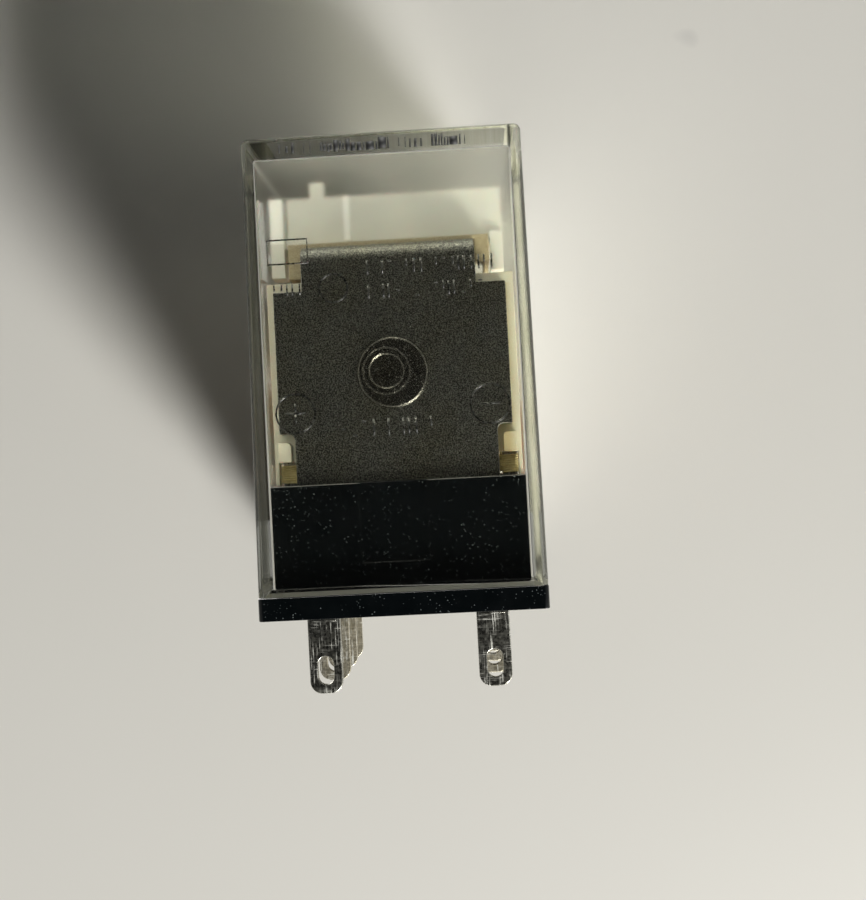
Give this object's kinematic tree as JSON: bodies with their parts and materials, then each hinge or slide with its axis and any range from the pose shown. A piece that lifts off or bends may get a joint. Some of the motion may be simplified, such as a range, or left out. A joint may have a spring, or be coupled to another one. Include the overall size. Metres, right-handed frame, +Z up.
{
  "type": "plug-in control relay",
  "caption": "Clear-cased plug-in control relay: horizontal coil and hinged armature drive two changeover contact sets above flat blade terminals.",
  "frame": {"origin": "centre of the base's seating plane, where the flange's underside meets a socket", "axes": "+Z up out of the seating plane, towards the cover's top; the blades point along -Z; the coil end, with the yoke's plate and the riveted core, faces -Y; X runs across the two poles"},
  "size_m": [0.0216, 0.028, 0.0424],
  "materials": {
    "black_plastic": "moulded black, lightly scratched",
    "clear_plastic": "clear moulded polycarbonate",
    "terminal_metal": "tin-plated, rubbed",
    "contact_silver": "silver alloy",
    "plated_steel": "dark zinc plate, fine grain",
    "cream_plastic": "moulded cream",
    "enamelled_wire": "enamelled copper",
    "amber_tape": "amber film tape",
    "brown_sheet": "brown insulating sheet",
    "white_plastic": "moulded white",
    "spring_steel": "bright spring steel",
    "spring_bronze": "phosphor bronze",
    "copper_braid": "braided bare copper"
  },
  "bodies": {
    "frame": {"base": "black_plastic", "coil_terminal_left": "terminal_metal", "coil_terminal_right": "terminal_metal", "common_terminal_left": "terminal_metal", "common_terminal_right": "terminal_metal", "open_terminal_left": "terminal_metal", "open_terminal_right": "terminal_metal", "closed_terminal_left": "terminal_metal", "closed_terminal_right": "terminal_metal", "open_contact_left": "contact_silver", "open_contact_right": "contact_silver", "closed_contact_left": "contact_silver", "closed_contact_right": "contact_silver", "yoke": "plated_steel", "core": "plated_steel", "bobbin": "cream_plastic", "coil_winding": "enamelled_wire", "coil_tape": "amber_tape", "coil_lead_left": "enamelled_wire", "coil_lead_right": "enamelled_wire", "insulator": "brown_sheet", "arc_barrier": "white_plastic", "hinge_spring": "spring_steel", "hinge_rivets": "spring_steel", "flex_lead_left": "copper_braid", "flex_lead_right": "copper_braid"},
    "cover": {"cover": "clear_plastic"},
    "armature": {"armature": "plated_steel", "carrier": "white_plastic", "armature_rivets": "spring_steel", "moving_spring_left": "spring_bronze", "moving_spring_right": "spring_bronze", "moving_contact_left": "contact_silver", "moving_contact_right": "contact_silver"}
  },
  "joints": [
    {"name": "cover_pull", "type": "slide", "parent": "frame", "child": "cover", "axis": [0, 0, 1], "range_m": [0, 0.034]},
    {"name": "armature_pivot", "type": "hinge", "parent": "frame", "child": "armature", "pos_m": [0, 0.0072, 0.0281], "axis": [-1, 0, 0], "range_deg": [0, 3], "stiffness_Nm_per_rad": 0.01, "springref_deg": -5.73, "deforming": ["flex_lead_left", "flex_lead_right", "hinge_spring"]}
  ]
}
